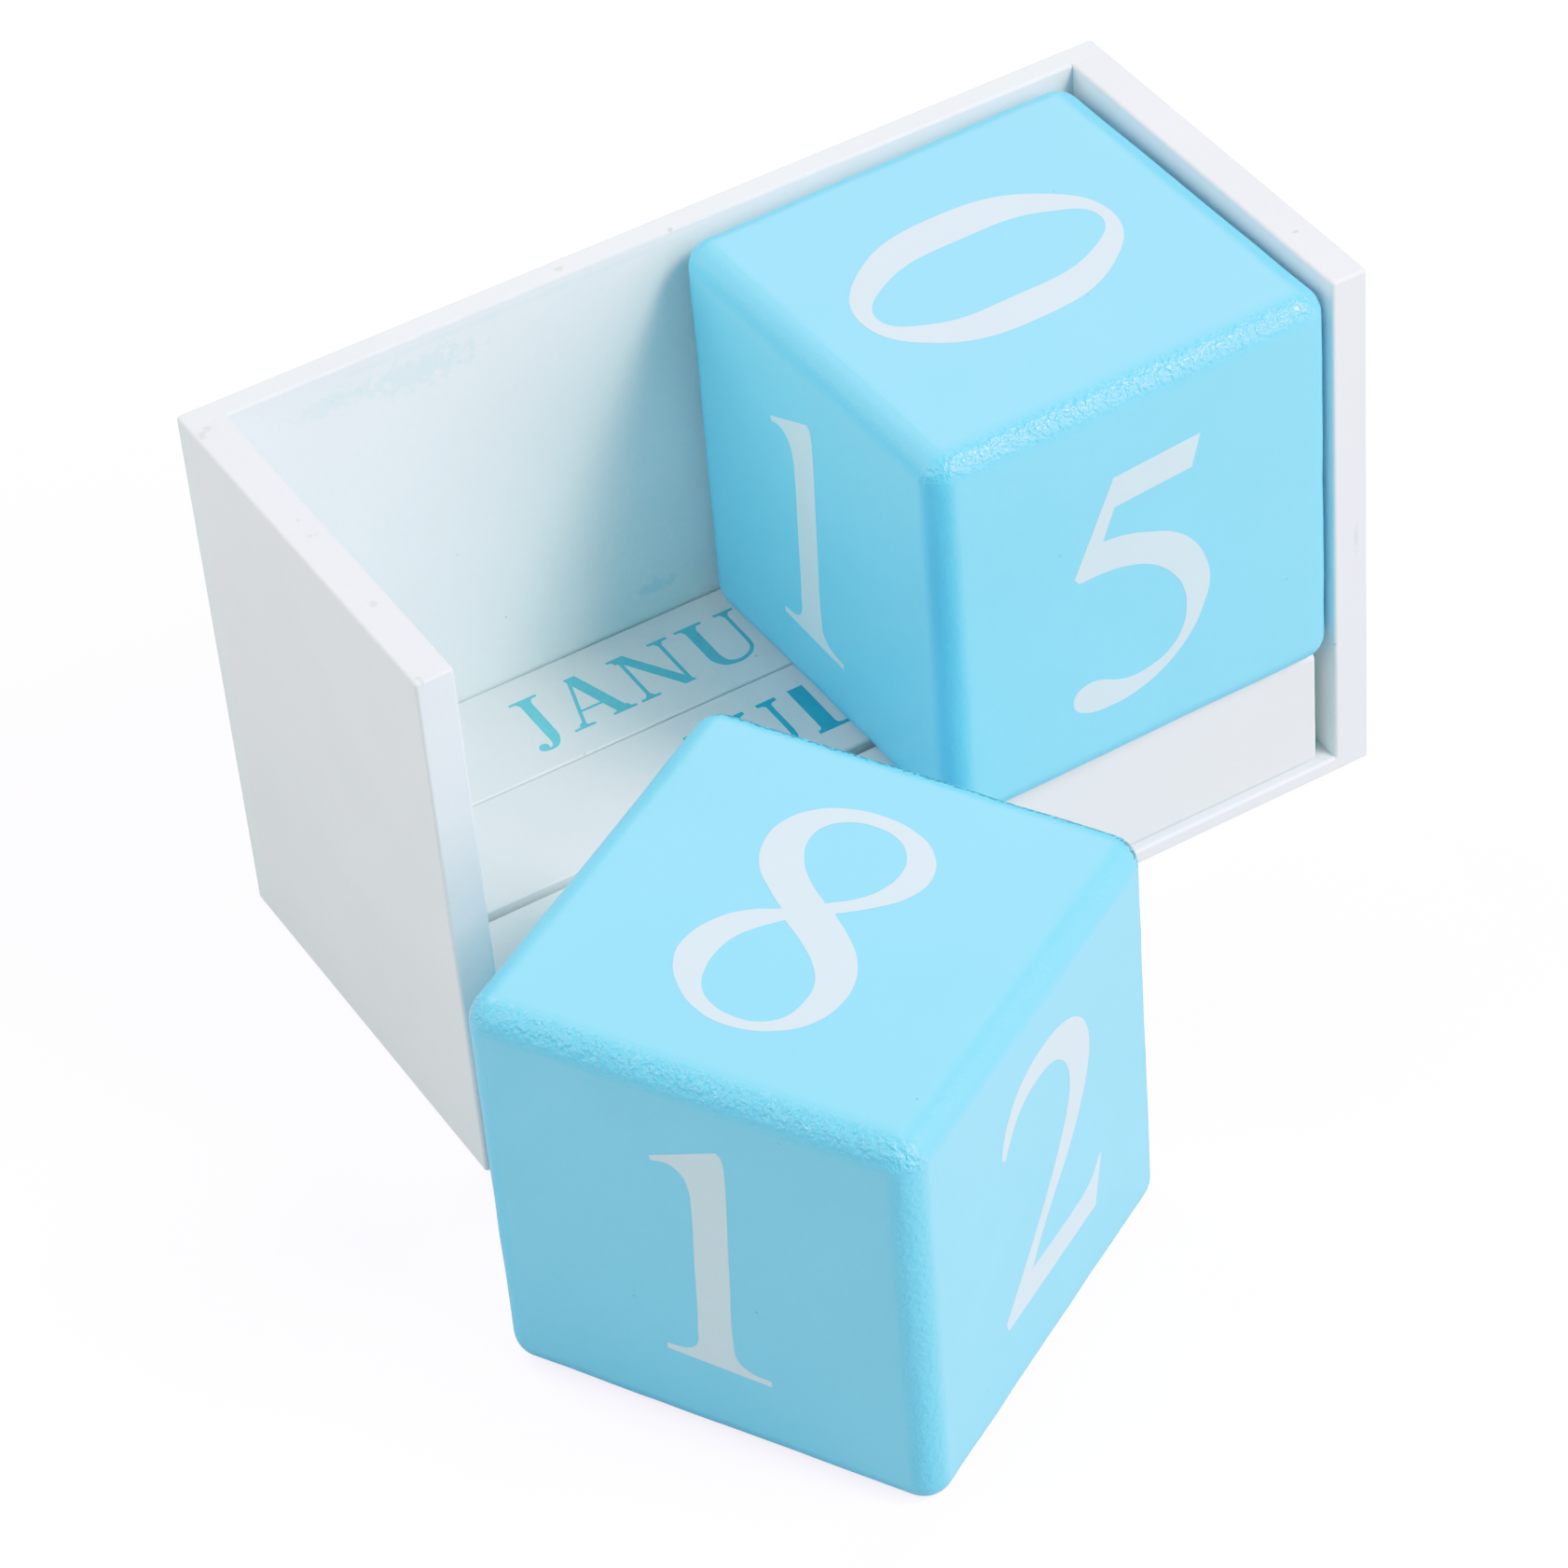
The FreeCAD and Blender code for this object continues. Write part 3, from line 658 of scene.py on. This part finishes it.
# names from the face on top round to the front, the underside and the back
monthBars = {
    "month_bar_rear": {"body": "bar_rear", "ink": monthInk, "thick": 0.165, "thin": 0.042,
                       "names": ("JANUARY", "NOVEMBER", "FEBRUARY", "OCTOBER")},
    "month_bar_middle": {"body": "bar_middle", "ink": boldInk, "thick": 0.235, "thin": 0.06,
                         "names": ("JULY", "APRIL", "DECEMBER", "SEPTEMBER")},
    "month_bar_front": {"body": "bar_front", "ink": monthInk, "thick": 0.20, "thin": 0.05,
                        "names": ("JUNE", "MAY", "MARCH", "AUGUST")},
}
barFaces = (((0, 0, 1), (0, 1, 0)), ((0, -1, 0), (0, 0, 1)),
            ((0, 0, -1), (0, -1, 0)), ((0, 1, 0), (0, 0, -1)))


# strokes are polygons in units of the capital height
def box(left, right, low, high):
    return [(left, low), (right, low), (right, high), (left, high)]


def lean(fromX, fromY, toX, toY, width):
    half = width / 2
    return [(fromX - half, fromY), (fromX + half, fromY), (toX + half, toY), (toX - half, toY)]


def serif(middle, base, half, thick, thin, way=1):
    # slab with hollow brackets running into a stem
    stem = thick / 2
    steps = [(half, 0), (half, thin), (stem + (half - stem) * 0.3, thin * 1.25), (stem, lettering["bracket"])]
    right = [(middle + x, base + way * y) for x, y in steps]
    return right + [(2 * middle - x, y) for x, y in reversed(right)]


def sweep(line, smoothness=6):
    # stroke of changing width along a smooth line of (x, y, width)
    points = [Vector(point) for point in line]
    padded = [2 * points[0] - points[1]] + points + [2 * points[-1] - points[-2]]
    fine = []
    for before, start, end, after in zip(padded, padded[1:], padded[2:], padded[3:]):
        for step in range(smoothness):
            share = step / smoothness
            fine.append(0.5 * (2 * start + (end - before) * share
                               + (2 * before - 5 * start + 4 * end - after) * share ** 2
                               + (3 * start - before - 3 * end + after) * share ** 3))
    fine.append(points[-1])
    left, right = [], []
    for index, point in enumerate(fine):
        ahead, behind = fine[min(index + 1, len(fine) - 1)], fine[max(index - 1, 0)]
        along = Vector((ahead.x - behind.x, ahead.y - behind.y)).normalized()
        across = Vector((-along.y, along.x)) * point.z / 2
        left.append((point.x + across.x, point.y + across.y))
        right.append((point.x - across.x, point.y - across.y))
    return left + right[::-1]


def bowl(midX, midY, halfX, halfY, side, rim, start, end):
    # part of a ring between two ellipses, thick at the sides and thin above and below
    steps = lettering["arcSteps"]
    angles = [math.radians(start + (end - start) * step / steps) for step in range(steps + 1)]
    outer = [(midX + halfX * math.cos(angle), midY + halfY * math.sin(angle)) for angle in angles]
    halfX, halfY = halfX - side, halfY - rim
    inner = [(midX + halfX * math.cos(angle), midY + halfY * math.sin(angle)) for angle in angles]
    return outer + inner[::-1]


def capitals(thick, thin):
    # every capital as (width, strokes), for stems and hairlines of these widths
    def foot(x, half=0.21, width=thick):
        return serif(x, 0, half, width, thin)

    def head(x, half=0.21, width=thick):
        return serif(x, 1, half, width, thin, -1)

    def stem(x, low=0.0, high=1.0, width=thick):
        return box(x - width / 2, x + width / 2, low, high)

    def beak(x, y, way, drop=0.24, slant=0.02):
        # pointed end of an arm
        tip, inside = y - way * drop, y - way * (thin + 0.03)
        return [(x - 0.10, y), (x, y), (x + slant, tip), (x - 0.035, tip), (x - 0.05, inside)]

    def beakBack(x, y, way):
        return [(2 * x - across, up) for across, up in beak(x, y, way)]

    medium = thin * 1.3
    return {
        "A": (0.96, [lean(0.17, 0, 0.455, 1.02, medium), lean(0.79, 0, 0.47, 1.02, thick * 1.08),
                     box(0.26, 0.66, 0.31, 0.31 + thin), foot(0.17, 0.16, medium),
                     foot(0.79, 0.18, thick)]),
        "B": (0.82, [stem(0.24), box(0.05, 0.44, 1 - thin, 1), box(0.05, 0.44, 0, thin),
                     box(0.2, 0.44, 0.5, 0.5 + thin),
                     bowl(0.42, 0.75 + thin / 4, 0.27, 0.25 + thin / 4, thick * 0.95, thin, -90, 90),
                     bowl(0.42, 0.25 + thin / 2, 0.33, 0.25 + thin / 2, thick, thin, -90, 90),
                     foot(0.24, 0.19), head(0.24, 0.19)]),
        "C": (0.90, [bowl(0.50, 0.5, 0.46, 0.52, thick * 1.02, thin, 42, 318),
                     beak(0.86, 1.0, 1, 0.30, 0.0), sweep([(0.845, 0.165, thin), (0.88, 0.215, thin)])]),
        "D": (0.98, [stem(0.24), box(0.05, 0.44, 1 - thin, 1), box(0.05, 0.44, 0, thin),
                     bowl(0.42, 0.5, 0.51, 0.5, thick * 1.05, thin, -90, 90), foot(0.24, 0.19),
                     head(0.24, 0.19)]),
        "E": (0.80, [stem(0.24), box(0.05, 0.70, 1 - thin, 1), box(0.05, 0.72, 0, thin),
                     box(0.2, 0.54, 0.5, 0.5 + thin), beak(0.70, 1.0, 1), beak(0.735, 0.0, -1, 0.27),
                     box(0.51, 0.545, 0.40, 0.62 + thin), foot(0.24, 0.19), head(0.24, 0.19)]),
        "F": (0.74, [stem(0.24), box(0.05, 0.68, 1 - thin, 1), box(0.2, 0.54, 0.48, 0.48 + thin),
                     beak(0.68, 1.0, 1), box(0.51, 0.545, 0.38, 0.60 + thin), foot(0.24, 0.23),
                     head(0.24, 0.19)]),
        "G": (0.97, [bowl(0.50, 0.5, 0.46, 0.52, thick * 1.02, thin, 42, 300),
                     beak(0.85, 1.0, 1, 0.30, 0.0), stem(0.80, 0.04, 0.42),
                     serif(0.80, 0.44, 0.19, thick, thin, -1),
                     sweep([(0.70, 0.025, thin * 1.4), (0.80, 0.06, thin * 1.4), (0.86, 0.10, thin)])]),
        "H": (1.02, [stem(0.24), stem(0.78), box(0.24, 0.78, 0.49, 0.49 + thin), foot(0.24), foot(0.78),
                     head(0.24), head(0.78)]),
        "I": (0.48, [stem(0.24), foot(0.24), head(0.24)]),
        "J": (0.54, [stem(0.32, 0.16, 1.0), head(0.32),
                     sweep([(0.32, 0.20, thick), (0.315, 0.08, thick * 0.9), (0.27, -0.04, thick * 0.6),
                            (0.19, -0.09, thin * 1.3), (0.11, -0.07, thin * 1.6)]),
                     bowl(0.10, -0.02, 0.075, 0.075, 0.06, 0.06, 0, 180),
                     bowl(0.10, -0.02, 0.075, 0.075, 0.06, 0.06, 180, 360)]),
        "L": (0.80, [stem(0.24), box(0.05, 0.72, 0, thin), beak(0.735, 0.0, -1, 0.30), foot(0.24, 0.19),
                     head(0.24)]),
        "M": (1.18, [stem(0.18, width=medium), stem(0.97), lean(0.57, 0, 0.22, 1, thick),
                     lean(0.57, 0, 0.93, 1, medium), foot(0.18, 0.15, medium), foot(0.97, 0.19),
                     head(0.14, 0.11, medium), head(1.0, 0.16)]),
        "N": (1.02, [stem(0.19, width=medium), stem(0.82, width=medium),
                     lean(0.80, 0, 0.20, 1, thick * 1.05), foot(0.19, 0.15, medium),
                     head(0.15, 0.12, medium), head(0.82, 0.15, medium)]),
        "O": (0.99, [bowl(0.495, 0.5, 0.46, 0.52, thick * 1.02, thin, -90, 90),
                     bowl(0.495, 0.5, 0.46, 0.52, thick * 1.02, thin, 90, 270)]),
        "P": (0.76, [stem(0.24), box(0.05, 0.42, 1 - thin, 1), box(0.2, 0.42, 0.44, 0.44 + thin),
                     bowl(0.40, 0.72, 0.30, 0.28, thick, thin, -90, 90), foot(0.24, 0.22),
                     head(0.24, 0.19)]),
        "R": (0.90, [stem(0.24), box(0.05, 0.42, 1 - thin, 1), box(0.2, 0.42, 0.46, 0.46 + thin),
                     bowl(0.40, 0.73, 0.29, 0.27, thick, thin, -90, 90),
                     lean(0.80, 0, 0.43, 0.49, thick * 1.05), foot(0.24, 0.21), head(0.24, 0.19),
                     box(0.72, 0.92, 0, thin)]),
        "S": (0.66, [sweep([(0.545, 0.79, thin), (0.47, 0.935, thin * 1.2), (0.32, 0.985, thin * 1.2),
                            (0.185, 0.90, thick * 0.72), (0.155, 0.76, thick * 0.9), (0.22, 0.63, thick),
                            (0.36, 0.52, thick * 1.08), (0.49, 0.40, thick), (0.525, 0.26, thick * 0.9),
                            (0.46, 0.10, thick * 0.66), (0.31, 0.015, thin * 1.2), (0.15, 0.06, thin * 1.2),
                            (0.085, 0.22, thin)]), box(0.525, 0.56, 0.70, 1.0),
                     box(0.07, 0.105, 0.0, 0.31)]),
        "T": (0.86, [stem(0.43), box(0.05, 0.81, 1 - thin, 1), beak(0.79, 1.0, 1), beakBack(0.07, 1.0, 1),
                     foot(0.43)]),
        "U": (0.98, [stem(0.24, 0.28, 1), stem(0.80, 0.28, 1, medium), head(0.24), head(0.80, 0.15, medium),
                     sweep([(0.24, 0.32, thick), (0.25, 0.20, thick * 0.98), (0.31, 0.07, thick * 0.72),
                            (0.42, 0.005, thin * 1.9), (0.55, -0.005, thin * 1.5), (0.69, 0.05, thin * 1.4),
                            (0.78, 0.16, medium), (0.80, 0.32, medium)])]),
        "V": (0.94, [lean(0.47, -0.01, 0.16, 1, thick * 1.06), lean(0.485, -0.01, 0.80, 1, medium),
                     head(0.16, 0.18), head(0.80, 0.14, medium)]),
        "Y": (0.94, [lean(0.47, 0.42, 0.16, 1, thick * 1.05), lean(0.49, 0.42, 0.80, 1, medium),
                     stem(0.47, 0, 0.47), foot(0.47), head(0.16, 0.18), head(0.80, 0.14, medium)]),
    }


def letterWord(word, shapes):
    # joins overlapping strokes to one flat outline, then gives it a thickness
    bm = bmesh.new()
    cursor = 0.0
    for letter in word:
        width, strokes = shapes[letter]
        points, loops = [], []
        for stroke in strokes:
            loops.append(list(range(len(points), len(points) + len(stroke))))
            points += [Vector(point) for point in stroke]
        corners, _, faces, _, _, owners = delaunay_2d_cdt(points, [], loops, 1, lettering["weld"])
        made = [bm.verts.new((cursor + corner.x, corner.y, 0)) for corner in corners]
        for face, owner in zip(faces, owners):
            if owner:
                bm.faces.new([made[index] for index in face])
        cursor += width + lettering["spacing"]
    bmesh.ops.delete(bm, geom=[vert for vert in bm.verts if not vert.link_faces], context="VERTS")
    middle = (cursor - lettering["spacing"]) / 2
    height = lettering["height"]
    bm.transform(Matrix.Diagonal((height, height, height, 1)) @ Matrix.Translation((-middle, -0.5, 0)))
    raised = bmesh.ops.extrude_face_region(bm, geom=bm.faces[:])
    top = [item for item in raised["geom"] if isinstance(item, bmesh.types.BMVert)]
    bmesh.ops.translate(bm, verts=top, vec=(0, 0, printFilm["proud"] + printFilm["sunk"]))
    bmesh.ops.translate(bm, verts=bm.verts[:], vec=(0, 0, -printFilm["sunk"]))
    mesh = bpy.data.meshes.new("word")
    bm.to_mesh(mesh)
    bm.free()
    return mesh


barPainted = makePaint("bar white paint", barPaint)
for name, bar in monthBars.items():
    paintNode(name, barPainted)
    low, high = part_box(name)
    middle, half = (low + high) / 2, (high.z - low.z) / 2
    shapes = capitals(bar["thick"], bar["thin"])
    bm = bmesh.new()
    for word, face in zip(bar["names"], barFaces):
        mesh = letterWord(word, shapes)
        mesh.transform(Matrix.Translation(middle) @ facing(*face) @ Matrix.Translation((0, 0, half)))
        bm.from_mesh(mesh)
        bpy.data.meshes.remove(mesh)
    closeSheet(bm)
    inked = makePaint(name.replace("_", " ") + " ink", bar["ink"])
    finishPiece(bm, name + "_lettering", inked, bar["body"], smooth=False)
print("month bars lettered")


# studio: plain pale floor, softboxes, even surroundings
studio = {
    "lightColour": (1.03, 0.98, 1.03),
    "floorSize": 6.0,
    "floorSeen": 0.93,           # brightness of the floor's paint to the camera
    "floorBounce": 0.5,          # and to everything that it throws light on
    "floorRoughness": 0.9,
    "floorGloss": 0.45,          # how far reflections see it as the camera does
    "floorGlow": 1.2,            # seen by the camera only, keeps the floor pale and lights nothing
    "backdrop": 2.6,             # likewise
    "floorFade": (0.3, 0.7),     # distances over which the floor's glow turns into the backdrop's
}
# azimuth 0 is in front of the tray and 90 to its right; sizes and distances in metres, energies in watts
softboxes = {
    "key": {"azimuth": 38, "elevation": 50, "distance": 1.8, "size": 0.5, "energy": 29.4},
    "key low": {"azimuth": 38, "elevation": 25, "distance": 1.8, "size": 1.5, "energy": 45.2},
    "left": {"azimuth": -66, "elevation": 50, "distance": 1.8, "size": 1.1, "energy": 11.3},
    "left low": {"azimuth": -105, "elevation": 25, "distance": 1.8, "size": 1.1, "energy": 14.8},
    "back left low": {"azimuth": -135, "elevation": 25, "distance": 1.8, "size": 0.7, "energy": 8.5},
    "back left": {"azimuth": -165, "elevation": 50, "distance": 1.8, "size": 0.7, "energy": 12.6},
    "back right low": {"azimuth": 150, "elevation": 36, "distance": 1.8, "size": 0.7, "energy": 4.8},
    "back right": {"azimuth": 120, "elevation": 50, "distance": 1.8, "size": 0.7, "energy": 8.0},
}


def hangSoftbox(name, softbox):
    azimuth, elevation = math.radians(softbox["azimuth"]), math.radians(softbox["elevation"])
    toward = Vector((math.sin(azimuth) * math.cos(elevation),
                     -math.cos(azimuth) * math.cos(elevation), math.sin(elevation)))
    light = bpy.data.lights.new(name, "AREA")
    light.shape, light.size, light.energy = "SQUARE", softbox["size"], softbox["energy"]
    light.color = studio["lightColour"]
    lamp = bpy.data.objects.new(name, light)
    middle = (cadLow + cadHigh) / 2
    lamp.matrix_world = (Matrix.Translation(middle + toward * softbox["distance"])
                         @ toward.to_track_quat("Z", "Y").to_matrix().to_4x4())
    scene.collection.objects.link(lamp)


for name, softbox in softboxes.items():
    hangSoftbox(name, softbox)

bm = bmesh.new()
bmesh.ops.create_grid(bm, x_segments=1, y_segments=1, size=studio["floorSize"] / 2)
mesh = bpy.data.meshes.new("floor")
bm.to_mesh(mesh)
bm.free()
floor = bpy.data.objects.new("floor", mesh)
scene.collection.objects.link(floor)
floorMaterial = bpy.data.materials.new("floor white")
floorMaterial.use_nodes = True
tree = floorMaterial.node_tree
shader = tree.nodes["Principled BSDF"]
shader.inputs["Roughness"].default_value = studio["floorRoughness"]
shader.inputs["Emission Color"].default_value = (1, 1, 1, 1)
rays = tree.nodes.new("ShaderNodeLightPath").outputs
seen = rays["Is Camera Ray"]
brightness = addMath(tree, "MULTIPLY_ADD", rays["Is Glossy Ray"], studio["floorGloss"], seen)
bounce, bright = ((studio[key],) * 3 + (1,) for key in ("floorBounce", "floorSeen"))
tree.links.new(addBlend(tree, brightness, bounce, bright), shader.inputs["Base Color"])
place = tree.nodes.new("ShaderNodeTexCoord").outputs["Object"]
outward = addNode(tree, "ShaderNodeVectorMath", {0: place}, operation="LENGTH").outputs["Value"]
glow = addRange(tree, outward, *studio["floorFade"], studio["floorGlow"], studio["backdrop"])
tree.links.new(addMath(tree, "MULTIPLY", seen, glow), shader.inputs["Emission Strength"])
mesh.materials.append(floorMaterial)
floor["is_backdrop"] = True

world = bpy.data.worlds.new("studio")
world.use_nodes = True
seen = world.node_tree.nodes.new("ShaderNodeLightPath").outputs["Is Camera Ray"]
background = world.node_tree.nodes["Background"]
background.inputs["Color"].default_value = (1, 1, 1, 1)
glow = addMath(world.node_tree, "MULTIPLY", seen, studio["backdrop"])
world.node_tree.links.new(glow, background.inputs["Strength"])
scene.world = world
print("studio lit")

low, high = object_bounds()
